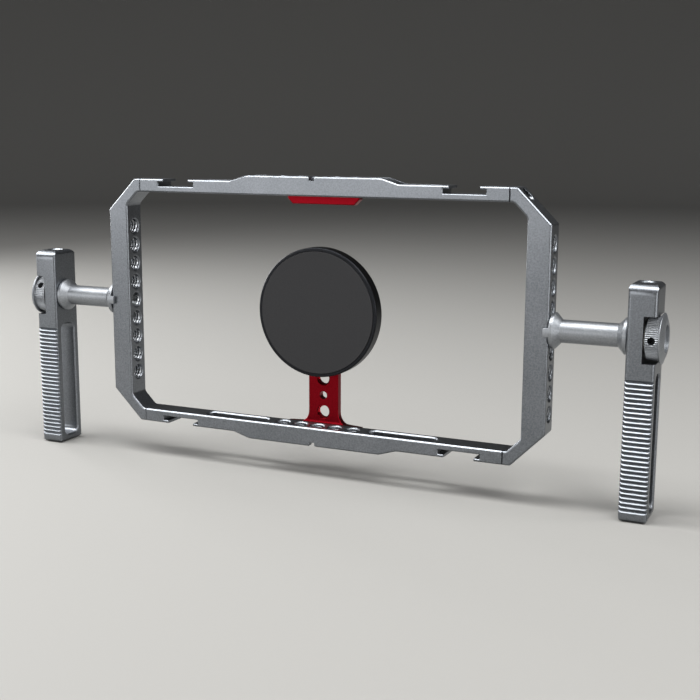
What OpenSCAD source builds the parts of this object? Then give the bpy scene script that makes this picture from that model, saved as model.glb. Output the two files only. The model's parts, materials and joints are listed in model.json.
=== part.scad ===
// Cage frame with two side grips, all sizes in millimetres.
// The origin is the mouth of the centre socket under the bottom bar.
// +X runs to the right, +Y to the back, +Z up.

/* [Cage frame] */
// Width across both side frames
cage_width = 213; // [190:1:250]
// Height over the bars, without their raised pads
cage_height = 115; // [104:1:140]
// Depth of the frame, front to back
cage_depth = 11.5; // [10:0.25:13]
// Height of a bar at its ends
bar_height = 6; // [5.75:0.25:8]
// Width of a side frame seen from the front
side_width = 10.2; // [8:0.2:12]
// Leg of the 45 degree chamfer on each outer corner
corner_chamfer = 14.5; // [13:0.5:18]
// Wall of a side frame across its chamfered corner
corner_wall = 5.4; // [5:0.1:6]
// Straight land between the corner chamfer and the bar's end
seam_land = 3.5; // [3.25:0.25:6]
// Radius inside the corners of the window
window_radius = 2.5; // [1:0.25:4]
// Radius on the outer corners of the frame
outer_radius = 1.5; // [0.75:0.25:3]
// Bright chamfer along the front and back edges
edge_chamfer = 0.6; // [0.2:0.1:0.8]

/* [Bar features] */
// Rise of the pad at the middle of a bar
pad_rise = 2.5; // [1.5:0.25:4]
// Width of the flat top of the pad
pad_width = 65; // [56:1:72]
// Length of the ramp at each end of the pad
ramp_length = 8.2; // [6:0.2:9]
// Radius that blends the ramp with the flats
ramp_radius = 8; // [2:1:12]
// Width of the alignment groove across the pad
groove_width = 2.5; // [1.5:0.25:4]
// Depth of the alignment groove
groove_depth = 1.8; // [0.5:0.1:2.4]
// Chamfer along the mouth of the alignment groove
groove_chamfer = 0.4; // [0.2:0.1:0.5]
// Inner width of a shoe slot
shoe_width = 18.7; // [18:0.1:20]
// Width of one lip over a shoe slot
shoe_lip = 2.6; // [2:0.1:3.2]
// Thickness of a shoe lip
shoe_lip_thickness = 1.3; // [1:0.1:1.8]
// Depth of a shoe slot's floor below the bar's face
shoe_depth = 3.3; // [2.8:0.1:3.6]
// Chamfer round the two mouths of a shoe slot
shoe_chamfer = 0.4; // [0.2:0.1:0.6]
// Distance from the bar's end to its shoe slot
shoe_inset = 9.7; // [9:0.1:12]
// Width of a long accessory slot
slot_width = 6.5; // [6.35:0.05:7]
// Wall between a long slot and the shoe slot
slot_shoe_wall = 2.4; // [1.5:0.1:4]
// Wall between a long slot and the last round hole
slot_hole_wall = 4.6; // [2:0.2:7]

/* [Threaded holes] */
// Diameter of the 1/4-20 holes over their thread
thread_diameter = 6.35; // [5.1:0.05:6.6]
// Distance between neighbouring holes
hole_pitch = 8.75; // [8.5:0.05:9.5]
// Holes on each side of the centre hole of a bar
bar_hole_pairs = 2; // [1:1:2]
// Width of the countersink round a hole
countersink = 0.6; // [0.2:0.1:0.8]
// Least wall between the last side hole and the corner
side_hole_margin = 2; // [1:0.5:5]
// Radial clearance of a bolt in its hole
bolt_clearance = 0.075; // [0.03:0.005:0.095]

/* [Corner screws] */
// Shank diameter of a corner screw
corner_screw_diameter = 2.5; // [2:0.1:2.8]
// Head diameter of a corner screw
corner_head_diameter = 4.4; // [4:0.1:4.6]
// Head height of a corner screw
corner_head_height = 1.9; // [1.5:0.1:2.2]
// Length of the shank inside the bar
corner_screw_grip = 7.5; // [5:0.25:8.5]
// Wall of the side frame under the head
corner_seat_wall = 2.1; // [1.6:0.1:2.4]
// Gap round a screw and under its tip
screw_clearance = 0.1; // [0.05:0.01:0.2]
// Gap round a screw head in its counterbore
head_clearance = 0.2; // [0.1:0.05:0.3]

/* [Posts] */
// Length of a post between side frame and grip
post_length = 31.5; // [24:0.5:45]
// Diameter of the post's shaft
post_diameter = 9.5; // [8.5:0.25:11]
// Thickness of a flange rim
flange_rim = 1.6; // [1.5:0.1:4]
// Length of the cone behind a flange
flange_cone = 2.6; // [2:0.1:5]
// Thickness of an anti-twist claw
claw_thickness = 1.7; // [1.4:0.1:3]
// Height of a claw
claw_height = 3.6; // [2.5:0.1:5]
// Reach of a claw over the side frame
claw_reach = 2; // [1:0.25:4]
// Gap between a claw and the side frame
claw_gap = 0.05; // [0.02:0.01:0.2]
// Clearance round the bolt inside a post
post_bore_clearance = 0.4; // [0.3:0.05:0.6]

/* [Grips] */
// Width of a grip seen from the front
grip_width = 11.6; // [10:0.2:14]
// Depth of a grip, front to back
grip_depth = 16.6; // [15.6:0.2:20]
// Height of a grip above the post's axis
grip_above = 22; // [18:1:30]
// Length of a grip below the post's axis
grip_below = 74; // [60:1:100]
// Radius on the front and back edges of the top
grip_top_radius = 4.5; // [1:0.5:4.5]
// Radius on the other end edges
grip_end_radius = 2.4; // [0.8:0.2:2.6]
// Radius along the four long edges
grip_edge_radius = 1.4; // [0.6:0.1:1.8]
// Distance from the post's axis to the first rib
rib_start = 15.9; // [12:0.1:22]
// Plain length below the last rib
rib_end = 2.8; // [2.6:0.2:8]
// Distance between ribs
rib_pitch = 1.94; // [1.6:0.01:2.6]
// Width of the flat crest of a rib
rib_crest = 0.2; // [0.1:0.05:0.4]
// Depth of the groove between two ribs
rib_depth = 0.8; // [0.3:0.1:1]
// Width of the long slot in a grip
grip_slot_width = 9.5; // [7:0.25:10]
// Distance from the post's axis to the slot
grip_slot_start = 14.5; // [12:0.5:20]
// Wall below the slot
grip_slot_wall = 3.5; // [3:0.25:8]
// Radius of the slot's corners
grip_slot_radius = 3; // [1.5:0.25:3.5]
// Chamfer round the slot's rims
grip_slot_chamfer = 0.6; // [0.3:0.1:1]
// Depth of the threaded hole in the top
grip_socket_depth = 11.5; // [8:0.5:12]

/* [Thumb wheels] */
// Diameter of the knurled hub
hub_diameter = 18; // [16:0.2:19]
// Length of the knurled hub
hub_length = 5.4; // [4:0.2:6]
// Number of knurl teeth on the hub
hub_teeth = 66; // [40:1:72]
// Depth of the knurl
knurl_depth = 0.4; // [0.2:0.05:0.6]
// Diameter of the smooth outer flange
wheel_flange_diameter = 20.5; // [20:0.5:24]
// Thickness of the outer flange
wheel_flange_thickness = 1.8; // [1.8:0.2:4]
// Bevel on the flange's outer edge
wheel_bevel = 1.2; // [0.6:0.1:1.4]
// Diameter of the recess in the wheel's end
wheel_recess_diameter = 11; // [9:0.5:13]
// Depth of the recess in the wheel's end
wheel_recess_depth = 1.4; // [0.6:0.2:1.8]
// Gap between the hub and the grip's notch
notch_clearance = 0.35; // [0.3:0.05:0.8]
// Turn of the left wheel at rest, which lifts its grub screw
left_wheel_turn = 33; // [0:1:90]
// Gap between the wheel's flange and the grip
wheel_gap = 0.8; // [0.3:0.1:1]
// Thickness of the thrust washer
washer_thickness = 0.6; // [0.4:0.1:1]
// Diameter of the thrust washer
washer_diameter = 13; // [10:0.5:14]
// Diameter of the grub screw in the hub
grub_diameter = 3; // [2.5:0.1:3.5]
// Length of the grub screw
grub_length = 3; // [2:0.25:3.5]
// Distance from the rod's end to the side frame's window face
bolt_shortfall = 3.4; // [0.2:0.2:4.4]
// Width across flats of the rod's socket
bolt_socket = 3; // [2.5:0.5:3.5]

/* [Back bracket] */
// Width of the bracket's foot
foot_width = 36.8; // [33.2:0.4:44]
// Drop of the foot's top below the bar's window face
foot_drop = 0.4; // [0.2:0.1:0.8]
// Fall of the foot's top from the flare to its ends
foot_fall = 0.4; // [0.2:0.1:0.6]
// Height left free between the foot and the pad's face
foot_margin = 1; // [0.5:0.25:2]
// Thickness of the neck
neck_thickness = 3.5; // [3:0.25:5]
// Set-back of the neck behind the frame
neck_setback = 0.5; // [0.4:0.05:1]
// Width of the neck
neck_width = 14.8; // [13:0.2:18]
// Height of the flare between foot and neck
flare_height = 5.6; // [3:0.2:8]
// Width of the flare on each side of the neck
flare_width = 4.2; // [3:0.2:7]
// Height of the hollow fillet in front of the neck
foot_fillet_height = 1.3; // [0.6:0.1:1.5]
// Distance between the neck's threaded holes
neck_pitch = 15.5; // [14:0.1:18]
// Diameter of the neck's locating holes
locating_hole_diameter = 3.6; // [3:0.1:4]
// Width of the upper tab
tab_width = 35.2; // [33.2:0.4:44]
// Height of the upper tab past the bar's window face
tab_overlap = 4; // [3:0.25:6]
// Thickness of the upper tab
tab_thickness = 4; // [3.6:0.2:6]
// Leg of the chamfer on the tab's lower corners
tab_chamfer = 2.5; // [1.5:0.1:3.5]
// Shank diameter of the bracket screws
bracket_screw_diameter = 3; // [2.4:0.1:3]
// Head diameter of the bracket screws
bracket_head_diameter = 5.5; // [5:0.1:6]
// Head height of the bracket screws
bracket_head_height = 2; // [1.4:0.1:2]
// Depth of a bracket screw in the bar
bracket_screw_depth = 2.9; // [2:0.1:3]
// Depth of the counterbores over the heads
bracket_counterbore = 2.4; // [2:0.1:2.6]

/* [Magnetic holder] */
// Diameter of the holder cup
cup_diameter = 58; // [54:1:70]
// Depth of the holder cup
cup_depth = 7; // [6:0.25:9]
// Wall round the cup
cup_wall = 1.5; // [1:0.1:2.5]
// Floor of the cup
cup_floor = 2.5; // [2:0.1:3]
// Edge radius of the cup's back
cup_edge = 1.4; // [0.6:0.2:1.8]
// Diameter of the boss in the cup
boss_diameter = 13; // [11:0.5:18]
// Thickness of the steel backing ring
backing_thickness = 0.8; // [0.5:0.1:1.2]
// Radial width of the magnets
magnet_width = 4.5; // [3:0.25:7]
// Number of magnets round the ring
magnet_count = 16; // [8:2:20]
// Gap between neighbouring magnets in degrees
magnet_gap = 3; // [1:0.5:6]
// Thickness of the face pad
pad_thickness = 1.4; // [1:0.1:1.8]
// Height of the pad in front of the cup's rim
pad_proud = 0.3; // [0.1:0.1:0.6]
// Gap round the pieces inside the cup
cup_clearance = 0.15; // [0.1:0.05:0.3]
// Diameter of the holder's knob
knob_diameter = 19; // [16:0.5:24]
// Thickness of the holder's knob
knob_thickness = 7; // [5:0.5:10]
// Number of knurl teeth on the knob
knob_teeth = 60; // [40:1:72]
// Length of the stud inside the cup
stud_engagement = 4.5; // [3:0.25:5]
// Gap between the knob and the neck
knob_gap = 0.3; // [0.2:0.1:0.6]

/* [Hidden] */
$fn = 72;

// Overlap of a cutter past the face that it cuts
cut = 0.5;
// Steps in a rounded corner of an outline
arc_steps = 6;

// Finishes as the eye reads them
grey_anodised = [0.56, 0.57, 0.58];
red_anodised = [0.72, 0.08, 0.10];
dark_anodised = [0.16, 0.16, 0.17];
bright_steel = [0.72, 0.73, 0.74];
black_steel = [0.13, 0.13, 0.14];
white_nylon = [0.90, 0.89, 0.85];
black_silicone = [0.09, 0.09, 0.10];
magnet_nickel = [0.66, 0.65, 0.62];

// Frame
half_width = cage_width / 2;
half_height = cage_height / 2;
half_depth = cage_depth / 2;
mid_z = half_height + pad_rise;
seam_x = half_width - corner_chamfer - seam_land;
window_half_width = half_width - side_width;
window_half_height = half_height - bar_height;
inner_chamfer = corner_wall * sqrt(2) + corner_chamfer - side_width - bar_height;
pad_height = bar_height + pad_rise;

// Holes and slots of the bars, measured from the middle
thread_radius = thread_diameter / 2;
bolt_radius = thread_radius - bolt_clearance;
shoe_outer = seam_x - shoe_inset;
shoe_inner = shoe_outer - shoe_width;
slot_outer = shoe_inner - slot_shoe_wall;
slot_inner = bar_hole_pairs * hole_pitch + thread_radius + slot_hole_wall;
side_straight = half_height - corner_chamfer;
side_hole_pairs = floor((side_straight - thread_radius - side_hole_margin) / hole_pitch);

// Corner screws
corner_seat_x = seam_x + corner_seat_wall;
corner_screw_z = half_height - bar_height / 2;
corner_hole_radius = corner_screw_diameter / 2 + screw_clearance;
corner_bore_radius = corner_head_diameter / 2 + head_clearance;

// Hex socket across flats and metal left under it, as shares of a screw head's size
head_socket_share = 0.45;
head_floor_share = 0.4;

// Posts, grips and wheels along X
flange_radius = half_depth + claw_gap + claw_thickness;
post_bore_radius = bolt_radius + post_bore_clearance;
grip_inner_x = half_width + post_length;
grip_outer_x = grip_inner_x + grip_width;
grip_middle_x = (grip_inner_x + grip_outer_x) / 2;
grip_length = grip_above + grip_below;
hub_start_x = grip_outer_x + wheel_gap - hub_length;
notch_floor_x = hub_start_x - washer_thickness;
notch_half_height = hub_diameter / 2 + notch_clearance;
wheel_end_x = grip_outer_x + wheel_gap + wheel_flange_thickness;
bolt_start_x = window_half_width + bolt_shortfall;
bolt_end_x = wheel_end_x - wheel_recess_depth;
bolt_socket_depth = 3;
knurl_chamfer = knurl_depth + 0.2;
rim_chamfer = 0.4;
wheel_bevel_reach = 2.8 * wheel_bevel;
rib_count = floor((grip_below - rib_start - rib_end) / rib_pitch);
rib_valley = 0.1;
grub_recess = 1.2;
grub_socket = 1.5;

// Bracket and tab, behind the frame
foot_front_y = half_depth;
neck_front_y = foot_front_y + neck_setback;
neck_back_y = neck_front_y + neck_thickness;
foot_bottom_z = foot_margin;
foot_top_z = pad_height - foot_drop;
fillet_top_z = foot_top_z + foot_fillet_height;
neck_holes = floor((mid_z - fillet_top_z - thread_radius) / neck_pitch);
bracket_screw_x = 1.5 * hole_pitch;
bracket_screw_z = pad_height / 2;
bracket_hole_radius = bracket_screw_diameter / 2 + screw_clearance;
bracket_bore_radius = bracket_head_diameter / 2 + head_clearance;
tab_back_y = foot_front_y + tab_thickness;
bracket_edge = 0.3;
head_sweep = 80;

// Magnetic holder, from the neck forwards
cup_radius = cup_diameter / 2;
cup_front_y = neck_front_y - cup_depth;
cup_floor_y = neck_front_y - cup_floor;
pocket_radius = cup_radius - cup_wall;
boss_radius = boss_diameter / 2;
face_pad_y = cup_front_y - pad_proud;
pad_back_y = face_pad_y + pad_thickness;
backing_front_y = cup_floor_y - backing_thickness;
magnet_outer = pocket_radius - cup_clearance;
magnet_inner = magnet_outer - magnet_width;
pin_radius = locating_hole_diameter / 2 - screw_clearance;
pin_depth = 1.8;
pin_z = mid_z - neck_pitch / 2;
knob_front_y = neck_back_y + knob_gap;
knob_back_y = knob_front_y + knob_thickness;
stud_end_y = neck_front_y - stud_engagement;
stud_recess = 1;

// Unit vector, and the same turned a quarter turn to the left
function unit(v) = v / norm(v);
function left_of(v) = [-v.y, v.x];

// Outline moved inwards by a distance, for outlines listed counter-clockwise
function inset(points, distance) =
  let (n = len(points))
  [for (i = [0:n - 1])
    let (
      u = unit(points[i] - points[(i + n - 1) % n]),
      v = unit(points[(i + 1) % n] - points[i])
    )
    points[i] + distance * (left_of(u) + left_of(v)) / (1 + u * v)];

// Arc of a given radius in the corner at b, between the sides towards a and c
function corner_arc(a, b, c, radius) =
  let (
    u = unit(a - b),
    v = unit(c - b),
    half = acos(u * v) / 2,
    turn = 180 - 2 * half,
    centre = b + unit(u + v) * radius / sin(half),
    from = b + u * radius / tan(half) - centre,
    to = b + v * radius / tan(half) - centre
  )
  [for (i = [0:arc_steps])
    let (f = i / arc_steps)
    centre + (from * sin((1 - f) * turn) + to * sin(f * turn)) / sin(turn)];

// Outline from corners given as [x, y, radius], where radius 0 is sharp
function rounded(corners) =
  let (n = len(corners), flat = [for (c = corners) [c.x, c.y]])
  [for (i = [0:n - 1])
    each corners[i].z > 0
      ? corner_arc(flat[(i + n - 1) % n], flat[i], flat[(i + 1) % n], corners[i].z)
      : [flat[i]]];

// Corner list mirrored left to right and reversed
function mirrored(corners) =
  [for (i = [len(corners) - 1:-1:0]) [-corners[i].x, corners[i].y, corners[i].z]];

// Star outline of a straight knurl
function knurl(diameter, teeth) =
  [for (i = [0:2 * teeth - 1])
    let (r = diameter / 2 - (i % 2) * knurl_depth, a = 180 * i / teeth)
    [r * cos(a), r * sin(a)]];

// Plate with an outline in XZ between two planes in Y, chamfered round both faces.
// The outline's second half, read backwards, lies opposite its first half, so that
// each pair of neighbouring points and the pair opposite bound one strip of a face.
// A chamfer below zero widens the plate towards both faces instead.
module chamfered_plate(outline, front_y, back_y, chamfer) {
  n = len(outline);
  face = inset(outline, chamfer);
  step = abs(chamfer);
  rings = [
    [face, front_y], [outline, front_y + step],
    [outline, back_y - step], [face, back_y]
  ];
  last = len(rings) - 1;
  points = [for (ring = rings) for (p = ring[0]) [p.x, ring[1], p.y]];
  walls = [for (k = [0:last - 1]) for (i = [0:n - 1])
    let (j = (i + 1) % n)
    [k * n + i, k * n + j, (k + 1) * n + j, (k + 1) * n + i]];
  strips = [for (i = [0:n / 2 - 2]) [i, i + 1, n - 2 - i, n - 1 - i]];
  front = [for (s = strips) [s[3], s[2], s[1], s[0]]];
  back = [for (s = strips) [for (i = s) i + last * n]];
  polyhedron(points, concat(front, back, walls));
}

// Cutter through the frame's depth with an outline in XZ
module depth_cut(outline) {
  rotate([90, 0, 0]) linear_extrude(cage_depth + 2 * cut, center = true) polygon(outline);
}

// The same with a chamfer round both mouths
module flared_cut(outline, chamfer) {
  chamfered_plate(outline, -half_depth - cut, half_depth + cut, -chamfer - cut);
}

// Children drawn along Z are turned to run along X or along Y
module along_x() rotate([0, 90, 0]) children();
module along_y() rotate([-90, 0, 0]) children();

// Round hole along Z from low to high, with a countersink at both mouths
module countersunk_hole(radius, low, high) {
  translate([0, 0, low - cut]) cylinder(r = radius, h = high - low + 2 * cut);
  for (end = [[low, 0], [high, 180]])
    translate([0, 0, end[0]]) rotate([end[1], 0, 0])
      translate([0, 0, -cut])
        cylinder(r1 = radius + countersink + cut, r2 = radius, h = countersink + cut);
}

// Sides on which a slot has corners of its own: one where the radius takes up its size
function corner_sides(size, radius) = size > 2 * radius ? [-1, 1] : [1];

// Slot along Z with rounded corners, size x by size y
module rounded_slot(size_x, size_y, radius, low, high) {
  length = high - low;
  if (size_x > 2 * radius)
    translate([-size_x / 2 + radius, -size_y / 2, low]) cube([size_x - 2 * radius, size_y, length]);
  if (size_y > 2 * radius)
    translate([-size_x / 2, -size_y / 2 + radius, low]) cube([size_x, size_y - 2 * radius, length]);
  for (sx = corner_sides(size_x, radius), sy = corner_sides(size_y, radius))
    translate([sx * (size_x / 2 - radius), sy * (size_y / 2 - radius), low])
      cylinder(r = radius, h = length);
}

// Chamfer round the mouth of such a slot, opening upwards at z = 0
module slot_rim(size_x, size_y, radius, chamfer) {
  wide = chamfer + cut;
  for (sx = corner_sides(size_x, radius), sy = corner_sides(size_y, radius))
    translate([sx * (size_x / 2 - radius), sy * (size_y / 2 - radius), -chamfer])
      cylinder(r1 = radius, r2 = radius + wide, h = wide);
  if (size_y > 2 * radius)
    rotate([90, 0, 0]) linear_extrude(size_y - 2 * radius, center = true)
      rim_section(size_x / 2, chamfer);
  if (size_x > 2 * radius)
    rotate([90, 0, 90]) linear_extrude(size_x - 2 * radius, center = true)
      rim_section(size_y / 2, chamfer);
}

module rim_section(half, chamfer) {
  wide = half + chamfer + cut;
  polygon([[-half, -chamfer], [half, -chamfer], [wide, cut], [-wide, cut]]);
}

// Cap screw along Z: the seat of the head is at z = 0 and the tip at z = -length
module cap_screw(diameter, length, head_diameter, head_height) {
  socket = head_diameter * head_socket_share;
  floor_height = head_height * head_floor_share;
  difference() {
    union() {
      translate([0, 0, -length]) cylinder(d = diameter, h = length);
      cylinder(d = head_diameter, h = head_height);
    }
    translate([0, 0, floor_height]) cylinder(d = socket / cos(30), h = head_height, $fn = 6);
  }
}

// Right half of a bar's outer face, from its end to the pad
bar_half_face = [
  [seam_x, bar_height, 0],
  [pad_width / 2 + ramp_length, bar_height, ramp_radius],
  [pad_width / 2, pad_height, ramp_radius]
];

// Outline of a bar in XZ that starts with its two lower corners at a given height
function bar_outline(low) =
  rounded(concat([[-seam_x, low, 0], [seam_x, low, 0]], bar_half_face, mirrored(bar_half_face)));

// All that lies under the outer face pushed back at 45 degrees, which leaves a
// chamfer along the front edge of that face, ramps included
module under_sloped_face() {
  reach = 2 * cage_depth;
  translate([0, edge_chamfer - half_depth, 0]) rotate([-45, 0, 0])
    linear_extrude(2 * reach, center = true)
      polygon([for (p = bar_outline(-reach)) [p.x, -p.y * cos(45)]]);
}

// Bar without holes, chamfered along the edges of its outer face and window face
module bar_blank() {
  section = [
    [-half_depth, edge_chamfer], [edge_chamfer - half_depth, 0],
    [half_depth - edge_chamfer, 0], [half_depth, edge_chamfer],
    [half_depth, pad_height + cut], [-half_depth, pad_height + cut]
  ];
  intersection() {
    rotate([90, 0, 0]) linear_extrude(cage_depth, center = true) polygon(bar_outline(0));
    rotate([90, 0, 90]) linear_extrude(cage_width, center = true) polygon(section);
    under_sloped_face();
    mirror([0, 1, 0]) under_sloped_face();
  }
}

// Counter-clockwise rectangle between two values of X and two of Z
function rectangle(x, z) = [[x[0], z[0]], [x[1], z[0]], [x[1], z[1]], [x[0], z[1]]];

// Shoe slot at the right end of a bar: the wide slot, and the gap between its lips
shoe_low = bar_height - shoe_depth;
shoe_lip_z = bar_height - shoe_lip_thickness;
shoe_middle_z = (shoe_low + shoe_lip_z) / 2;
shoe_slot_outline = rectangle([shoe_inner, shoe_outer], [shoe_low, shoe_lip_z]);
shoe_gap_outline = rectangle(
  [shoe_inner + shoe_lip, shoe_outer - shoe_lip], [shoe_middle_z, bar_height + cut]
);

module shoe_cut() {
  flared_cut(shoe_slot_outline, shoe_chamfer);
  flared_cut(shoe_gap_outline, shoe_chamfer);
}

// Right half of the alignment groove's outline, upwards
groove_half = [
  [groove_width / 2, pad_height - groove_depth, 0],
  [groove_width / 2, pad_height - groove_chamfer, 0],
  [groove_width / 2 + groove_chamfer + cut, pad_height + cut, 0]
];

groove_outline = rounded(concat(groove_half, mirrored(groove_half)));

// Bar with its window face at z = 0 and its outer face upwards
module bar() {
  slot_length = slot_outer - slot_inner;
  difference() {
    bar_blank();
    shoe_cut();
    mirror([1, 0, 0]) shoe_cut();
    depth_cut(groove_outline);
    for (i = [-bar_hole_pairs:bar_hole_pairs])
      translate([i * hole_pitch, 0, 0]) countersunk_hole(thread_radius, 0, pad_height);
    for (side = [-1, 1]) {
      translate([side * (slot_inner + slot_outer) / 2, 0, 0]) {
        rounded_slot(slot_length, slot_width, slot_width / 2, -cut, pad_height + cut);
        rotate([180, 0, 0]) slot_rim(slot_length, slot_width, slot_width / 2, countersink);
      }
      translate([side * (seam_x + cut), 0, bar_height / 2]) rotate([0, -90 * side, 0])
        cylinder(r = corner_hole_radius, h = corner_screw_grip + screw_clearance + cut);
      translate([side * bracket_screw_x, half_depth + cut, pad_height / 2]) rotate([90, 0, 0])
        cylinder(r = bracket_hole_radius, h = bracket_screw_depth + screw_clearance + cut);
    }
  }
}

module top_bar() {
  color(grey_anodised) translate([0, 0, mid_z + window_half_height]) bar();
}

module bottom_bar() {
  color(grey_anodised) translate([0, 0, mid_z - window_half_height]) mirror([0, 0, 1]) bar();
}

// Corner list flipped top to bottom and reversed
function flipped(corners) =
  [for (i = [len(corners) - 1:-1:0]) [corners[i].x, -corners[i].y, corners[i].z]];

// Upper halves of the right side frame's outer edge, upwards, and window edge, downwards
side_outer_edge = [
  [half_width, side_straight, outer_radius],
  [half_width - corner_chamfer, half_height, outer_radius],
  [seam_x, half_height, 0]
];
side_window_edge = [
  [seam_x, window_half_height, 0],
  [window_half_width - inner_chamfer, window_half_height, window_radius],
  [window_half_width, window_half_height - inner_chamfer, window_radius]
];

side_outline = rounded(concat(
  flipped(side_outer_edge), side_outer_edge, side_window_edge, flipped(side_window_edge)
));

module side_frame() {
  counterbore = corner_chamfer;
  translate([0, 0, mid_z]) difference() {
    chamfered_plate(side_outline, -half_depth, half_depth, edge_chamfer);
    for (i = [-side_hole_pairs:side_hole_pairs])
      translate([0, 0, i * hole_pitch]) along_x()
        countersunk_hole(thread_radius, window_half_width, half_width);
    for (side = [-1, 1]) translate([0, 0, side * corner_screw_z]) along_x() {
      translate([0, 0, seam_x - cut]) cylinder(r = corner_hole_radius, h = corner_seat_wall + 2 * cut);
      translate([0, 0, corner_seat_x]) cylinder(r = corner_bore_radius, h = counterbore);
    }
  }
}

module right_side_frame() {
  color(grey_anodised) side_frame();
}

module left_side_frame() {
  color(grey_anodised) mirror([1, 0, 0]) side_frame();
}

module corner_screws() {
  color(black_steel) for (sx = [-1, 1], sz = [-1, 1])
    translate([sx * corner_seat_x, 0, mid_z + sz * corner_screw_z]) rotate([0, 90 * sx, 0])
      cap_screw(
        corner_screw_diameter, corner_screw_grip + corner_seat_wall,
        corner_head_diameter, corner_head_height
      );
}

// Post along X with a flange at each end and two claws at the cage
post_profile = [
  [post_bore_radius, 0],
  [flange_radius - rim_chamfer, 0],
  [flange_radius, rim_chamfer],
  [flange_radius, flange_rim],
  [post_diameter / 2, flange_rim + flange_cone],
  [post_diameter / 2, post_length - flange_rim - flange_cone],
  [flange_radius, post_length - flange_rim],
  [flange_radius, post_length - rim_chamfer],
  [flange_radius - rim_chamfer, post_length],
  [post_bore_radius, post_length]
];

module post() {
  claw_y = half_depth + claw_gap;
  translate([half_width, 0, mid_z]) along_x() {
    rotate_extrude() polygon(post_profile);
    intersection() {
      translate([0, 0, -claw_reach]) cylinder(r = flange_radius, h = claw_reach + flange_rim);
      for (side = [0, 180]) rotate([0, 0, side])
        translate([-claw_height / 2, claw_y, -claw_reach])
          cube([claw_height, claw_thickness, claw_reach + flange_rim]);
    }
  }
}

module right_post() {
  color(grey_anodised) post();
}

module left_post() {
  color(grey_anodised) mirror([1, 0, 0]) post();
}

// One groove between ribs on the front of a grip, a V with a narrow floor, as points down the face
function groove_points(top) =
  let (flank = (rib_pitch - rib_crest - rib_valley) / 2)
  [
    [-grip_depth / 2, top],
    [-grip_depth / 2 + rib_depth, top - flank],
    [-grip_depth / 2 + rib_depth, top - flank - rib_valley],
    [-grip_depth / 2, top - 2 * flank - rib_valley]
  ];

rib_face = [for (i = [0:rib_count - 1]) each groove_points(-rib_start - i * rib_pitch)];

grip_front_half = concat(
  corner_arc([0, grip_above], [-grip_depth / 2, grip_above], [-grip_depth / 2, 0], grip_top_radius),
  rib_face,
  corner_arc([-grip_depth / 2, 0], [-grip_depth / 2, -grip_below], [0, -grip_below], grip_end_radius)
);

grip_side_outline = concat(
  grip_front_half,
  [for (i = [len(grip_front_half) - 1:-1:0]) [-grip_front_half[i].x, grip_front_half[i].y]]
);

grip_front_outline = rounded([
  [-grip_width / 2, grip_above, grip_end_radius],
  [-grip_width / 2, -grip_below, grip_end_radius],
  [grip_width / 2, -grip_below, grip_end_radius],
  [grip_width / 2, grip_above, grip_end_radius]
]);

// Section across a grip, a rectangle with rounded corners
grip_section = rounded([
  [-grip_width / 2, grip_depth / 2, grip_edge_radius],
  [-grip_width / 2, -grip_depth / 2, grip_edge_radius],
  [grip_width / 2, -grip_depth / 2, grip_edge_radius],
  [grip_width / 2, grip_depth / 2, grip_edge_radius]
]);

module grip_blank() {
  translate([grip_middle_x, 0, 0]) intersection() {
    translate([0, 0, -grip_below]) linear_extrude(grip_length) polygon(grip_section);
    rotate([90, 0, 90]) linear_extrude(grip_width, center = true) polygon(grip_side_outline);
    rotate([90, 0, 0]) linear_extrude(grip_depth, center = true) polygon(grip_front_outline);
  }
}

module grip() {
  slot_length = grip_below - grip_slot_start - grip_slot_wall;
  slot_z = -(grip_slot_start + grip_below - grip_slot_wall) / 2;
  translate([0, 0, mid_z]) difference() {
    grip_blank();
    translate([0, 0, slot_z]) {
      along_x() rounded_slot(
        slot_length, grip_slot_width, grip_slot_radius, grip_inner_x - cut, grip_outer_x + cut
      );
      for (face = [[grip_inner_x, -90], [grip_outer_x, 90]])
        translate([face[0], 0, 0]) rotate([0, face[1], 0])
          slot_rim(slot_length, grip_slot_width, grip_slot_radius, grip_slot_chamfer);
    }
    translate([notch_floor_x, -grip_depth, -notch_half_height])
      cube([grip_width, 2 * grip_depth, 2 * notch_half_height]);
    translate([grip_inner_x - cut, 0, 0]) along_x() cylinder(r = thread_radius, h = grip_width);
    translate([grip_middle_x, 0, grip_above]) {
      translate([0, 0, -grip_socket_depth]) cylinder(r = thread_radius, h = grip_socket_depth + cut);
      translate([0, 0, -countersink])
        cylinder(r1 = thread_radius, r2 = thread_radius + countersink + cut, h = countersink + cut);
    }
  }
}

module right_grip() {
  color(grey_anodised) grip();
}

module left_grip() {
  color(grey_anodised) mirror([1, 0, 0]) grip();
}

// Thumb wheel along X: knurled hub in the notch, bevelled flange outside
module thumb_wheel() {
  hub_radius = hub_diameter / 2;
  flange = wheel_flange_diameter / 2;
  wheel_length = hub_length + wheel_flange_thickness;
  translate([hub_start_x, 0, mid_z]) along_x() difference() {
    union() {
      intersection() {
        linear_extrude(hub_length) polygon(knurl(hub_diameter, hub_teeth));
        rotate_extrude() polygon([
          [0, 0], [hub_radius - knurl_chamfer, 0], [hub_radius + cut, knurl_chamfer + cut],
          [hub_radius + cut, hub_length], [0, hub_length]
        ]);
      }
      translate([0, 0, hub_length]) rotate_extrude() polygon([
        [0, 0], [flange - rim_chamfer, 0], [flange, rim_chamfer],
        [flange, wheel_flange_thickness - wheel_bevel],
        [flange - wheel_bevel_reach, wheel_flange_thickness], [0, wheel_flange_thickness]
      ]);
    }
    translate([0, 0, -cut]) cylinder(r = thread_radius, h = wheel_length);
    translate([0, 0, wheel_length - wheel_recess_depth])
      cylinder(d = wheel_recess_diameter, h = wheel_recess_depth + cut);
    translate([0, 0, hub_length / 2]) rotate([90, 0, 0])
      cylinder(d = grub_diameter, h = hub_diameter);
  }
}

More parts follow.
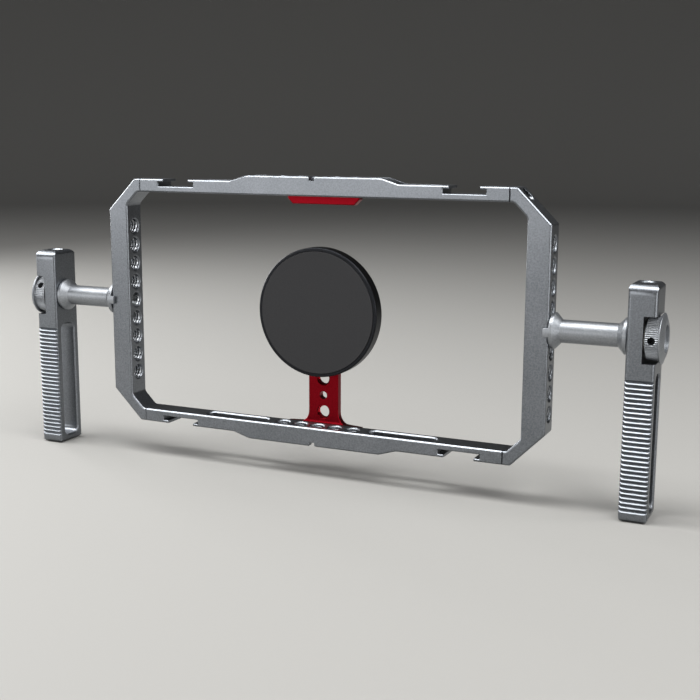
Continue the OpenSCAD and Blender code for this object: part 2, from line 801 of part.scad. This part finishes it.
// Turns a piece of the left wheel to where it rests
module parked() {
  translate([0, 0, mid_z]) rotate([-left_wheel_turn, 0, 0]) translate([0, 0, -mid_z]) children();
}

module right_thumb_wheel() {
  color(grey_anodised) thumb_wheel();
}

module left_thumb_wheel() {
  color(grey_anodised) parked() mirror([1, 0, 0]) thumb_wheel();
}

// Rod from the side frame's window face to the wheel's recess, with a hex socket
module clamp_bolt() {
  length = bolt_end_x - bolt_start_x;
  translate([bolt_start_x, 0, mid_z]) along_x() difference() {
    cylinder(r = bolt_radius, h = length);
    translate([0, 0, length - bolt_socket_depth])
      cylinder(d = bolt_socket / cos(30), h = bolt_socket_depth + cut, $fn = 6);
  }
}

module right_clamp_bolt() {
  color(bright_steel) clamp_bolt();
}

module left_clamp_bolt() {
  color(bright_steel) mirror([1, 0, 0]) clamp_bolt();
}

// Grub screw from the front of the hub onto the rod
module grub_screw() {
  start = bolt_radius + screw_clearance;
  radius = grub_diameter / 2 - screw_clearance;
  translate([hub_start_x + hub_length / 2, -start, mid_z]) rotate([90, 0, 0]) difference() {
    cylinder(r = radius, h = grub_length);
    translate([0, 0, grub_length - grub_recess])
      cylinder(d = grub_socket / cos(30), h = grub_recess + cut, $fn = 6);
  }
}

module right_grub_screw() {
  color(black_steel) grub_screw();
}

module left_grub_screw() {
  color(black_steel) parked() mirror([1, 0, 0]) grub_screw();
}

module thrust_washer() {
  translate([notch_floor_x, 0, mid_z]) along_x() difference() {
    cylinder(d = washer_diameter, h = washer_thickness);
    translate([0, 0, -cut]) cylinder(r = thread_radius, h = washer_thickness + 2 * cut);
  }
}

module right_thrust_washer() {
  color(white_nylon) thrust_washer();
}

module left_thrust_washer() {
  color(white_nylon) mirror([1, 0, 0]) thrust_washer();
}

// Right half of the bracket's outline upwards: foot, hollow flare, neck and round head
bracket_half = concat(
  [[foot_width / 2, foot_bottom_z], [foot_width / 2, foot_top_z - foot_fall]],
  [for (i = [0:arc_steps])
    let (a = 90 * (1 - i / arc_steps))
    [
      neck_width / 2 + flare_width * (1 - cos(a)),
      foot_top_z + flare_height * (1 - sin(a))
    ]],
  [for (i = [0:arc_steps])
    let (a = head_sweep * i / arc_steps)
    [neck_width / 2 * cos(a), mid_z + neck_width / 2 * sin(a)]]
);

bracket_outline = concat(
  bracket_half,
  [for (i = [len(bracket_half) - 1:-1:0]) [-bracket_half[i].x, bracket_half[i].y]]
);

// Section of the foot in front of the neck, with the hollow fillet on top
foot_section = concat(
  [[neck_front_y + bracket_edge, foot_bottom_z], [foot_front_y, foot_bottom_z]],
  [for (i = [0:arc_steps])
    let (a = 90 * i / arc_steps)
    [
      foot_front_y + neck_setback * sin(a),
      foot_top_z + foot_fillet_height * (1 - cos(a))
    ]],
  [[neck_front_y + bracket_edge, fillet_top_z]]
);

module back_bracket() {
  color(red_anodised) difference() {
    union() {
      chamfered_plate(bracket_outline, neck_front_y, neck_back_y, bracket_edge);
      intersection() {
        rotate([90, 0, 90]) linear_extrude(foot_width, center = true) polygon(foot_section);
        translate([0, neck_back_y - bracket_edge, 0]) rotate([90, 0, 0])
          linear_extrude(neck_back_y) polygon(bracket_outline);
      }
    }
    for (i = [0:neck_holes])
      translate([0, neck_front_y - cut, mid_z - i * neck_pitch]) along_y()
        cylinder(r = thread_radius, h = neck_thickness + 2 * cut);
    for (i = [0:neck_holes - 1])
      translate([0, neck_front_y - cut, mid_z - (i + 0.5) * neck_pitch]) along_y()
        cylinder(d = locating_hole_diameter, h = neck_thickness + 2 * cut);
    for (side = [-1, 1]) translate([side * bracket_screw_x, 0, bracket_screw_z]) along_y() {
      cylinder(r = bracket_hole_radius, h = neck_back_y + cut);
      translate([0, 0, neck_back_y - bracket_counterbore])
        cylinder(r = bracket_bore_radius, h = bracket_counterbore + cut);
    }
  }
}

module bracket_screws() {
  seat_y = neck_back_y - bracket_counterbore;
  color(black_steel) for (side = [-1, 1])
    translate([side * bracket_screw_x, seat_y, bracket_screw_z]) along_y()
      cap_screw(
        bracket_screw_diameter, seat_y - half_depth + bracket_screw_depth,
        bracket_head_diameter, bracket_head_height
      );
}

tab_top_z = 2 * mid_z - foot_bottom_z;
tab_bottom_z = 2 * mid_z - pad_height - tab_overlap;

tab_half = [
  [tab_width / 2 - tab_chamfer, tab_bottom_z],
  [tab_width / 2, tab_bottom_z + tab_chamfer],
  [tab_width / 2, tab_top_z]
];

tab_outline = concat(tab_half, [for (i = [len(tab_half) - 1:-1:0]) [-tab_half[i].x, tab_half[i].y]]);

module upper_tab() {
  color(red_anodised) difference() {
    chamfered_plate(tab_outline, foot_front_y, tab_back_y, bracket_edge);
    for (side = [-1, 1])
      translate([side * bracket_screw_x, 0, 2 * mid_z - bracket_screw_z]) along_y() {
        cylinder(r = bracket_hole_radius, h = tab_back_y + cut);
        translate([0, 0, tab_back_y - bracket_counterbore])
          cylinder(r = bracket_bore_radius, h = bracket_counterbore + cut);
      }
  }
}

module tab_screws() {
  seat_y = tab_back_y - bracket_counterbore;
  color(black_steel) for (side = [-1, 1])
    translate([side * bracket_screw_x, seat_y, 2 * mid_z - bracket_screw_z]) along_y()
      cap_screw(
        bracket_screw_diameter, seat_y - half_depth + bracket_screw_depth,
        bracket_head_diameter, bracket_head_height
      );
}

// Ring or disc about the holder's axis between two planes in Y
module holder_ring(outer, inner, front_y, back_y) {
  translate([0, front_y, mid_z]) along_y() difference() {
    cylinder(r = outer, h = back_y - front_y);
    if (inner > 0)
      translate([0, 0, -cut]) cylinder(r = inner, h = back_y - front_y + 2 * cut);
  }
}

// Cup that opens to the front, with a threaded boss and a rounded back edge
module holder_cup() {
  edge = [for (i = [0:arc_steps])
    let (a = 90 * i / arc_steps)
    [cup_radius - cup_edge * (1 - cos(a)), cup_depth - cup_edge * (1 - sin(a))]];
  profile = concat(
    [
      [thread_radius, pad_back_y - cup_front_y + cup_clearance],
      [boss_radius, pad_back_y - cup_front_y + cup_clearance],
      [boss_radius, cup_depth - cup_floor],
      [pocket_radius, cup_depth - cup_floor],
      [pocket_radius, 0],
      [cup_radius - rim_chamfer, 0],
      [cup_radius, rim_chamfer]
    ],
    edge,
    [[thread_radius, cup_depth]]
  );
  color(dark_anodised) difference() {
    translate([0, cup_front_y, mid_z]) along_y() rotate_extrude() polygon(profile);
    translate([0, neck_front_y - pin_depth, pin_z]) along_y()
      cylinder(r = pin_radius + screw_clearance / 2, h = pin_depth + cut);
  }
}

module magnet_backing() {
  color(bright_steel) holder_ring(magnet_outer, magnet_inner, backing_front_y, cup_floor_y);
}

// Arc magnets between the backing ring and the face pad
module magnets() {
  step = 360 / magnet_count;
  color(magnet_nickel) translate([0, pad_back_y, mid_z]) along_y()
    for (i = [0:magnet_count - 1]) rotate([0, 0, i * step])
      rotate_extrude(angle = step - magnet_gap)
        translate([magnet_inner, 0]) square([magnet_width, backing_front_y - pad_back_y]);
}

module face_pad() {
  color(black_silicone) holder_ring(pocket_radius - cup_clearance, 0, face_pad_y, pad_back_y);
}

// Dowel that keeps the cup from turning on the neck
module holder_pin() {
  color(bright_steel) translate([0, neck_front_y - pin_depth, pin_z]) along_y()
    cylinder(r = pin_radius, h = pin_depth + neck_thickness - screw_clearance);
}

module holder_stud() {
  color(bright_steel) translate([0, stud_end_y, mid_z]) along_y()
    cylinder(r = bolt_radius, h = knob_back_y - stud_recess - stud_end_y);
}

module holder_knob() {
  radius = knob_diameter / 2;
  back_chamfer = 2 * knurl_chamfer;
  color(dark_anodised) translate([0, knob_front_y, mid_z]) along_y() difference() {
    intersection() {
      linear_extrude(knob_thickness) polygon(knurl(knob_diameter, knob_teeth));
      rotate_extrude() polygon([
        [0, 0], [radius - knurl_chamfer, 0], [radius + cut, knurl_chamfer + cut],
        [radius + cut, knob_thickness - back_chamfer - cut],
        [radius - back_chamfer, knob_thickness], [0, knob_thickness]
      ]);
    }
    translate([0, 0, -cut]) cylinder(r = bolt_radius + screw_clearance, h = knob_thickness + 2 * cut);
  }
}

top_bar();
bottom_bar();
left_side_frame();
right_side_frame();
corner_screws();
back_bracket();
bracket_screws();
upper_tab();
tab_screws();
left_post();
right_post();
left_grip();
right_grip();
left_thumb_wheel();
right_thumb_wheel();
left_clamp_bolt();
right_clamp_bolt();
left_grub_screw();
right_grub_screw();
left_thrust_washer();
right_thrust_washer();
holder_cup();
magnet_backing();
magnets();
face_pad();
holder_pin();
holder_stud();
holder_knob();
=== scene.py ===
"""Looks of a cage frame with two side grips: broken edges, finishes, cut threads, floor, light, camera."""
import json
import math

import bpy
import numpy as np
from mathutils import Matrix, Vector


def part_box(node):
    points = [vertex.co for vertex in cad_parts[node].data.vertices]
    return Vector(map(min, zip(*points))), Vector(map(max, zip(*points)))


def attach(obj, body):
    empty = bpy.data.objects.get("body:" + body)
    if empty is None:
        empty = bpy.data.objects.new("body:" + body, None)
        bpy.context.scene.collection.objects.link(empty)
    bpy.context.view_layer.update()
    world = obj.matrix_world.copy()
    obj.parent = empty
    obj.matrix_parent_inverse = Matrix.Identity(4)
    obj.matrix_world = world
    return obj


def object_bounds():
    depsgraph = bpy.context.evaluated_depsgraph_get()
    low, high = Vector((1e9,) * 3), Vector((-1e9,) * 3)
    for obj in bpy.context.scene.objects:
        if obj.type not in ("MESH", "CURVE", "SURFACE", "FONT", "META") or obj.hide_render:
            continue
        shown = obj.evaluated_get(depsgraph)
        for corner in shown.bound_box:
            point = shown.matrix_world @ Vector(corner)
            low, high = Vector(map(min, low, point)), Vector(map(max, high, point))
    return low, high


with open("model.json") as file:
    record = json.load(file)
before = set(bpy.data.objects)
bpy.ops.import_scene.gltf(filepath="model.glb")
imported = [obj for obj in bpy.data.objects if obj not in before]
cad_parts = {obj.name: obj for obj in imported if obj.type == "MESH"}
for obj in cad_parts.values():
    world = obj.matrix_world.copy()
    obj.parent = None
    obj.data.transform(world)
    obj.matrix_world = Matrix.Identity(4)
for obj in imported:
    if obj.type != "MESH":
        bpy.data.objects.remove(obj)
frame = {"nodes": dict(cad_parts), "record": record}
cad_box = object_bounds()
nodes = frame["nodes"]

# Lengths are in metres
MM = 0.001


# Colours and material nodes

# Nearly all values of a noise lie in this range
NOISE_LOW, NOISE_HIGH = 0.3, 0.7

# Sockets of a colour mix: the share, the two colours and the result
MIX_SHARE, MIX_DARK, MIX_LIGHT, MIX_RESULT = 0, 6, 7, 2

# Cloudiness of an anodised face: its size, its share beside the grain, and the range from dark to light
CLOUD_SIZE = 18 * MM
CLOUD_SHARE = 0.3
DYE_LOW, DYE_HIGH = 0.4, 0.9

DIMPLE_DEPTH = 0.02 * MM


def linear(code):
    """Linear RGBA of an sRGB hex colour."""
    srgb = np.array([int(code[i:i + 2], 16) for i in (1, 3, 5)]) / 255
    rgb = np.where(srgb <= 0.04045, srgb / 12.92, ((srgb + 0.055) / 1.055) ** 2.4)
    return (*map(float, rgb), 1.0)


def add(tree, kind, settings=None, sockets=None):
    """Adds a node with its properties and inputs, where an input is a value or an output to link."""
    made = tree.nodes.new(kind)
    for name, value in (settings or {}).items():
        setattr(made, name, value)
    for name, value in (sockets or {}).items():
        if isinstance(value, bpy.types.NodeSocket):
            tree.links.new(value, made.inputs[name])
        else:
            made.inputs[name].default_value = value
    return made


def blank(name):
    """New material with an empty node tree, as (material, tree, Object coordinates)."""
    material = bpy.data.materials.new(name)
    material.use_nodes = True
    tree = material.node_tree
    tree.nodes.clear()
    return material, tree, add(tree, "ShaderNodeTexCoord").outputs["Object"]


def surface(material, tree, sockets):
    """Ends a material in one Principled shader with these inputs."""
    shader = add(tree, "ShaderNodeBsdfPrincipled", sockets=sockets)
    add(tree, "ShaderNodeOutputMaterial", sockets={"Surface": shader.outputs["BSDF"]})
    return material


def blasted_aluminium(name, dark, light, rough, grit_mm=0.7):
    """Bead blasted and anodised aluminium.

    The eye gets an even grain of tiny dimples, a soft broad highlight and a faint cloudiness of the
    dye. The real beads leave dimples of about 0.1 mm. They are drawn at 0.7 mm, so that they show.
    """
    material, tree, place = blank(name)
    grain = add(tree, "ShaderNodeTexNoise", sockets={
        "Vector": place, "Scale": 1 / (grit_mm * MM), "Detail": 2.0, "Roughness": 0.6})
    cloud = add(tree, "ShaderNodeTexNoise", sockets={
        "Vector": place, "Scale": 1 / CLOUD_SIZE, "Detail": 3.0})
    blend = add(tree, "ShaderNodeMath", {"operation": "MULTIPLY_ADD"}, {
        0: cloud.outputs["Fac"], 1: CLOUD_SHARE, 2: grain.outputs["Fac"]})
    share = add(tree, "ShaderNodeMapRange", sockets={
        "Value": blend.outputs["Value"], "From Min": DYE_LOW, "From Max": DYE_HIGH})
    colour = add(tree, "ShaderNodeMix", {"data_type": "RGBA"}, {
        MIX_SHARE: share.outputs["Result"], MIX_DARK: linear(dark), MIX_LIGHT: linear(light)})
    gloss = add(tree, "ShaderNodeMapRange", sockets={
        "Value": grain.outputs["Fac"], "From Min": NOISE_LOW, "From Max": NOISE_HIGH,
        "To Min": rough[0], "To Max": rough[1]})
    dimples = add(tree, "ShaderNodeBump", sockets={
        "Strength": 0.35, "Distance": DIMPLE_DEPTH, "Height": grain.outputs["Fac"]})
    return surface(material, tree, {
        "Base Color": colour.outputs[MIX_RESULT], "Metallic": 1.0, "Roughness": gloss.outputs["Result"],
        "Normal": dimples.outputs["Normal"]})


def cut_metal(name, dark, light, rough, mark_mm=0.35):
    """Turned, tapped or plated metal.

    It is smoother than a blasted face, with glints that the tool marks break up. The marks are
    drawn at 0.35 mm, coarser than the 0.1 mm of a real finishing cut, so that they show.
    """
    material, tree, place = blank(name)
    marks = add(tree, "ShaderNodeTexNoise", sockets={
        "Vector": place, "Scale": 1 / (mark_mm * MM), "Detail": 3.0, "Roughness": 0.7})
    colour = add(tree, "ShaderNodeMix", {"data_type": "RGBA"}, {
        MIX_SHARE: marks.outputs["Fac"], MIX_DARK: linear(dark), MIX_LIGHT: linear(light)})
    gloss = add(tree, "ShaderNodeMapRange", sockets={
        "Value": marks.outputs["Fac"], "From Min": NOISE_LOW, "From Max": NOISE_HIGH,
        "To Min": rough[0], "To Max": rough[1]})
    return surface(material, tree, {
        "Base Color": colour.outputs[MIX_RESULT], "Metallic": 1.0, "Roughness": gloss.outputs["Result"]})


def matt_skin(name, dark, light, rough, grain_mm):
    """Moulded plastic, silicone or paper: a dull skin with a fine grain and hardly any highlight."""
    material, tree, place = blank(name)
    grain = add(tree, "ShaderNodeTexNoise", sockets={
        "Vector": place, "Scale": 1 / (grain_mm * MM), "Detail": 3.0})
    colour = add(tree, "ShaderNodeMix", {"data_type": "RGBA"}, {
        MIX_SHARE: grain.outputs["Fac"], MIX_DARK: linear(dark), MIX_LIGHT: linear(light)})
    gloss = add(tree, "ShaderNodeMapRange", sockets={
        "Value": grain.outputs["Fac"], "From Min": NOISE_LOW, "From Max": NOISE_HIGH,
        "To Min": rough[0], "To Max": rough[1]})
    dimples = add(tree, "ShaderNodeBump", sockets={
        "Strength": 0.3, "Distance": DIMPLE_DEPTH, "Height": grain.outputs["Fac"]})
    return surface(material, tree, {
        "Base Color": colour.outputs[MIX_RESULT], "Roughness": gloss.outputs["Result"],
        "Normal": dimples.outputs["Normal"]})


# The turned pieces are paler and duller than the milled ones, and cut threads are brighter than both
finishes = {
    "grey_anodised": blasted_aluminium("grey_anodised_aluminium", "#666a6e", "#82858a", (0.28, 0.40)),
    "red_anodised": blasted_aluminium("red_anodised_aluminium", "#6a0811", "#7e0e19", (0.28, 0.40)),
    "dark_anodised": blasted_aluminium("black_anodised_aluminium", "#1d1e20", "#2a2b2e", (0.34, 0.46)),
    "turned_grey": blasted_aluminium("turned_and_blasted_aluminium", "#84878b", "#9a9da1", (0.42, 0.52)),
    "bright_steel": cut_metal("stainless_steel", "#b4b4b1", "#cfcfcc", (0.18, 0.30)),
    "black_steel": cut_metal("black_oxide_steel", "#1c1d1f", "#2b2c2f", (0.32, 0.45)),
    "magnet_nickel": cut_metal("nickel_plate", "#b3ada0", "#c9c3b6", (0.14, 0.22)),
    "tapped_grey": cut_metal("tapped_grey_aluminium", "#9a9da1", "#b4b7bb", (0.22, 0.34)),
    "tapped_red": cut_metal("tapped_red_aluminium", "#a3101c", "#c42a36", (0.16, 0.26)),
    "white_nylon": matt_skin("natural_nylon", "#dcd8cc", "#ebe8de", (0.42, 0.55), 0.6),
    "black_silicone": matt_skin("black_silicone", "#131315", "#1e1e21", (0.62, 0.78), 0.4),
}


# Edges of the machined pieces

# A right-angled edge is broken in three steps of 30 degrees, which shade as one curve
EDGE_STEPS = 3
EDGE_ANGLE = math.radians(32)
SMOOTH_ANGLE = math.radians(31)
FLAT_ANGLE = math.radians(0.4)
JOIN_GAP = 0.0005 * MM

# The ribs of the grips have fine edges and the side frames broad ones
EDGE_MM = 0.12
EDGE_MM_OF = {
    "left_grip": 0.04,
    "right_grip": 0.04,
    "left_side_frame": 0.25,
    "right_side_frame": 0.25,
}
TURNED = ("left_post", "right_post", "left_thumb_wheel", "right_thumb_wheel")


def smooth_by_angle(limit):
    """Node group that shades faces smooth and keeps edges sharper than the limit sharp."""
    group = bpy.data.node_groups.new("smooth_curves", "GeometryNodeTree")
    group.interface.new_socket("Geometry", in_out="INPUT", socket_type="NodeSocketGeometry")
    group.interface.new_socket("Geometry", in_out="OUTPUT", socket_type="NodeSocketGeometry")
    start = add(group, "NodeGroupInput")
    angle = add(group, "GeometryNodeInputMeshEdgeAngle")
    flat = add(group, "FunctionNodeCompare", {"operation": "LESS_EQUAL"}, {
        0: angle.outputs["Unsigned Angle"], 1: limit})
    faces = add(group, "GeometryNodeSetShadeSmooth", {"domain": "FACE"}, {
        "Geometry": start.outputs[0], "Shade Smooth": True})
    edges = add(group, "GeometryNodeSetShadeSmooth", {"domain": "EDGE"}, {
        "Geometry": faces.outputs[0], "Shade Smooth": flat.outputs[0]})
    add(group, "NodeGroupOutput", sockets={0: edges.outputs[0]})
    return group


soft_shading = smooth_by_angle(SMOOTH_ANGLE)


def break_edges(piece, width_mm):
    """Joins a machined piece's triangles into flat faces and breaks its sharp edges by a width."""
    join = piece.modifiers.new("join", "WELD")
    join.merge_threshold = JOIN_GAP
    flats = piece.modifiers.new("flats", "DECIMATE")
    flats.decimate_type = "DISSOLVE"
    flats.angle_limit = FLAT_ANGLE
    edge = piece.modifiers.new("edge", "BEVEL")
    edge.width = width_mm * MM
    edge.segments = EDGE_STEPS
    edge.limit_method = "ANGLE"
    edge.angle_limit = EDGE_ANGLE
    edge.use_clamp_overlap = False
    edge.miter_outer = "MITER_ARC"
    shade = piece.modifiers.new("shade", "NODES")
    shade.node_group = soft_shading
    even = piece.modifiers.new("even", "WEIGHTED_NORMAL")
    even.keep_sharp = True
    even.weight = 100


slots = {part["node"]: part["material_slot"] for part in frame["record"]["subparts"]}
for name, piece in nodes.items():
    finish = "turned_grey" if name in TURNED else slots[name]
    piece.data.materials.clear()
    piece.data.materials.append(finishes[finish])
    break_edges(piece, EDGE_MM_OF.get(name, EDGE_MM))


# Cut threads in the 1/4-20 holes

# Where the holes of the solids lie, with their numbers counted from the middle of the cage
MIDDLE_Z = (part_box("left_side_frame")[0].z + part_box("left_side_frame")[1].z) / 2
BAR_HOLES = range(-2, 3)
SIDE_HOLES = range(-4, 5)
NECK_HOLES = range(1, 4)
HOLE_PITCH = 8.75 * MM
COUNTERSINK = 0.6 * MM
GROOVE_DEPTH = 1.8 * MM
SIDE_WIDTH = 10.2 * MM
NECK_PITCH = 15.5 * MM
NECK_SETBACK = 0.5 * MM
SOCKET_DEPTH = 11.5 * MM
CLEAR = 0.2 * MM

# A 1/4-20 thread, whose ridge sits a little way into the wall of its hole
THREAD_PITCH = 25.4 / 20 * MM
WALL_RADIUS = 3.175 * MM
CREST_RADIUS = 2.57 * MM
SEAT = 0.06 * MM
STEPS_PER_TURN = 48
FADE_TURNS = 0.3

# Corners of the ridge's profile along the axis, as shares of the pitch
RIDGE_SHARES = np.array([-7, -2, 2, 7]) / 16


def thread_ridge(across, low, high, axis):
    """Ridge of an internal thread between two heights along an axis, as points and quads.

    A four-cornered profile, broad at the hole's wall and narrow at the crest, is carried along a
    helix of the thread's pitch. At both ends the crest sinks smoothly into the wall. The points
    are worked out as (across, across, along) and rolled so that along lies on the wanted axis.
    """
    turns = (high - low) / THREAD_PITCH + RIDGE_SHARES[0] - RIDGE_SHARES[3]
    turn = np.linspace(0, turns, round(turns * STEPS_PER_TURN) + 1)
    fade = np.clip(np.minimum(turn, turns - turn) / FADE_TURNS, 0, 1)
    fade = fade ** 2 * (3 - 2 * fade)
    crest = WALL_RADIUS + SEAT / 2 - fade * (WALL_RADIUS + SEAT / 2 - CREST_RADIUS)
    root = np.full_like(crest, WALL_RADIUS + SEAT)
    radius = np.stack((root, crest, crest, root), -1)
    angle = 2 * math.pi * turn[:, None]
    along = low + (turn[:, None] + RIDGE_SHARES - RIDGE_SHARES[0]) * THREAD_PITCH
    points = np.stack((across[0] + radius * np.cos(angle), across[1] + radius * np.sin(angle), along), -1)
    points = np.roll(points, (axis + 1) % 3, axis=-1).reshape(-1, 3)
    ring = np.arange(4)
    start = 4 * np.arange(len(turn) - 1)[:, None]
    after = (ring + 1) % 4
    quads = np.stack((start + ring, start + after, start + after + 4, start + ring + 4), -1).reshape(-1, 4)
    caps = np.stack((ring[::-1], ring + 4 * (len(turn) - 1)))
    return points, np.concatenate((quads, caps))


def threads(name, body, finish, holes):
    """One piece with a thread ridge in each hole, given as (across, low, high, axis)."""
    ridges = [thread_ridge(*hole) for hole in holes]
    starts = np.cumsum([0] + [len(points) for points, _ in ridges[:-1]])
    mesh = bpy.data.meshes.new(name)
    mesh.from_pydata(
        np.concatenate([points for points, _ in ridges]).tolist(), [],
        np.concatenate([quads + start for (_, quads), start in zip(ridges, starts)]).tolist())
    mesh.materials.append(finishes[finish])
    piece = bpy.data.objects.new(name, mesh)
    bpy.context.scene.collection.objects.link(piece)
    shade = piece.modifiers.new("shade", "NODES")
    shade.node_group = soft_shading
    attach(piece, body)


def bar_holes(node, pad_below):
    """The five holes of a bar along Z, where the middle one stops at the alignment groove."""
    low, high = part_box(node)
    for i in BAR_HOLES:
        pad_end = GROOVE_DEPTH + CLEAR if i == 0 else COUNTERSINK
        ends = (pad_end, COUNTERSINK) if pad_below else (COUNTERSINK, pad_end)
        yield (i * HOLE_PITCH, 0), low.z + ends[0], high.z - ends[1], 2


def side_holes(side):
    """The nine holes of a side frame along X, where the middle one stops at the clamp rod."""
    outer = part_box("right_side_frame")[1].x
    rod_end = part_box("right_clamp_bolt")[0].x
    for i in SIDE_HOLES:
        near = outer - SIDE_WIDTH + COUNTERSINK
        far = rod_end - CLEAR if i == 0 else outer - COUNTERSINK
        low, high = sorted((side * near, side * far))
        yield (0, MIDDLE_Z + i * HOLE_PITCH), low, high, 0


def neck_holes():
    """The three open holes of the neck along Y, below the one that takes the holder's stud."""
    low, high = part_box("back_bracket")
    for i in NECK_HOLES:
        yield (MIDDLE_Z - i * NECK_PITCH, 0), low.y + NECK_SETBACK, high.y, 1


def grip_socket(node):
    """The blind hole in the top of a grip, along Z."""
    low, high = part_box(node)
    yield ((low.x + high.x) / 2, 0), high.z - SOCKET_DEPTH + CLEAR, high.z - COUNTERSINK, 2


bars = [*bar_holes("bottom_bar", True), *bar_holes("top_bar", False)]
sides = [*side_holes(-1), *side_holes(1)]
threads("bar_threads", "cage", "tapped_grey", bars)
threads("side_frame_threads", "cage", "tapped_grey", sides)
threads("neck_threads", "cage", "tapped_red", neck_holes())
for grip in ("left_grip", "right_grip"):
    threads(f"{grip}_thread", grip, "tapped_grey", grip_socket(grip))


# Floor, light and camera

FLOOR_RADIUS, BEND_RADIUS, WALL_HEIGHT = 2.2, 1.0, 2.0
FLOOR_MIDDLE = 0.05
BEND_POINTS = 17
FLOOR_SIDES = 96


def round_floor():
    """Pale floor that bends up into a wall far away.

    A flat run, a quarter arc and an upright wall are turned about Z, round a small disc in the middle.
    """
    bend = np.linspace(0, math.pi / 2, BEND_POINTS)
    arc_reach = FLOOR_RADIUS + BEND_RADIUS * np.sin(bend)
    arc_rise = BEND_RADIUS * (1 - np.cos(bend))
    reach = np.concatenate(([FLOOR_MIDDLE], arc_reach, [FLOOR_RADIUS + BEND_RADIUS]))
    rise = np.concatenate(([0.0], arc_rise, [WALL_HEIGHT])) + cad_box[0].z
    turn = np.linspace(0, 2 * math.pi, FLOOR_SIDES, endpoint=False)
    points = np.stack(np.broadcast_arrays(
        reach * np.cos(turn)[:, None], reach * np.sin(turn)[:, None], rise), -1).reshape(-1, 3)
    count = len(reach)
    column = count * np.arange(len(turn))[:, None]
    after = np.roll(column, -1, axis=0)
    step = np.arange(count - 1)
    quads = np.stack((column + step, column + step + 1, after + step + 1, after + step), -1).reshape(-1, 4)
    disc = column[:, 0].tolist()
    mesh = bpy.data.meshes.new("floor")
    mesh.from_pydata(points.tolist(), [], [*quads.tolist(), disc])
    mesh.shade_smooth()
    mesh.materials.append(matt_skin("matt_paper", "#848380", "#888784", (0.75, 0.85), 2.0))
    sheet = bpy.data.objects.new("floor", mesh)
    bpy.context.scene.collection.objects.link(sheet)


round_floor()


def softbox(name, place, aim, size, radiance):
    """Rectangular soft light at a place, turned to a point, as bright as its radiance all over."""
    light = bpy.data.lights.new(name, "AREA")
    light.shape = "RECTANGLE"
    light.size, light.size_y = size
    light.energy = radiance * math.pi * size[0] * size[1]
    lamp = bpy.data.objects.new(name, light)
    bpy.context.scene.collection.objects.link(lamp)
    lamp.location = place
    lamp.rotation_euler = (Vector(aim) - Vector(place)).to_track_quat("-Z", "Y").to_euler()


# Each soft box stands where the faces named over it mirror it to the camera
MIDDLE = (0, 0, MIDDLE_Z)

# Front chamfers, ribs and posts
softbox("overhead", (-0.43, -0.20, 0.92), (-0.43, 0, MIDDLE_Z), (1.14, 0.34), 14.5)

# Diagonal edges at the upper right and lower left corners
softbox("overhead_right", (0.60, -0.32, 0.90), (0.60, 0, MIDDLE_Z), (0.46, 0.80), 9.0)

# Thread flanks in the left side frame
softbox("right", (0.85, 0.08, 0.62), MIDDLE, (0.40, 0.40), 8.0)

# Diagonal edges at the upper left and lower right corners
softbox("left", (-0.90, 0.16, 0.32), MIDDLE, (0.50, 0.50), 11.0)

# Upright edges on the right
softbox("right_low", (0.85, -0.42, 0.12), MIDDLE, (0.50, 0.24), 6.0)

# Front faces
softbox("front_left", (-0.50, -0.96, 0.23), MIDDLE, (1.1, 0.4), 3.2)

SKY_STRENGTH = 0.12
CAMERA_PLACE = (0.22575, -0.45490, 0.13691)
CAMERA_AZIMUTH = math.radians(24.736)
CAMERA_ELEVATION = math.radians(10.451)
CAMERA_ROLL = math.radians(0.26)
CAMERA_LENS_MM = 59.405
CAMERA_SENSOR_MM = 36.0

scene = bpy.context.scene
scene.view_settings.view_transform = "Standard"
scene.world = bpy.data.worlds.new("studio")
scene.world.use_nodes = True
sky = scene.world.node_tree.nodes["Background"]
sky.inputs["Color"].default_value = linear("#e6e8ec")
sky.inputs["Strength"].default_value = SKY_STRENGTH

camera = bpy.data.cameras.new("camera")
camera.sensor_width = CAMERA_SENSOR_MM
camera.lens = CAMERA_LENS_MM
camera.clip_start = 10 * MM
eye = bpy.data.objects.new("camera", camera)
scene.collection.objects.link(eye)
back = Vector((
    math.sin(CAMERA_AZIMUTH) * math.cos(CAMERA_ELEVATION),
    -math.cos(CAMERA_AZIMUTH) * math.cos(CAMERA_ELEVATION),
    math.sin(CAMERA_ELEVATION)))
turned = (-back).to_track_quat("-Z", "Y").to_matrix() @ Matrix.Rotation(CAMERA_ROLL, 3, "Z")
eye.matrix_world = Matrix.Translation(CAMERA_PLACE) @ turned.to_4x4()
scene.camera = eye

bpy.context.view_layer.update()
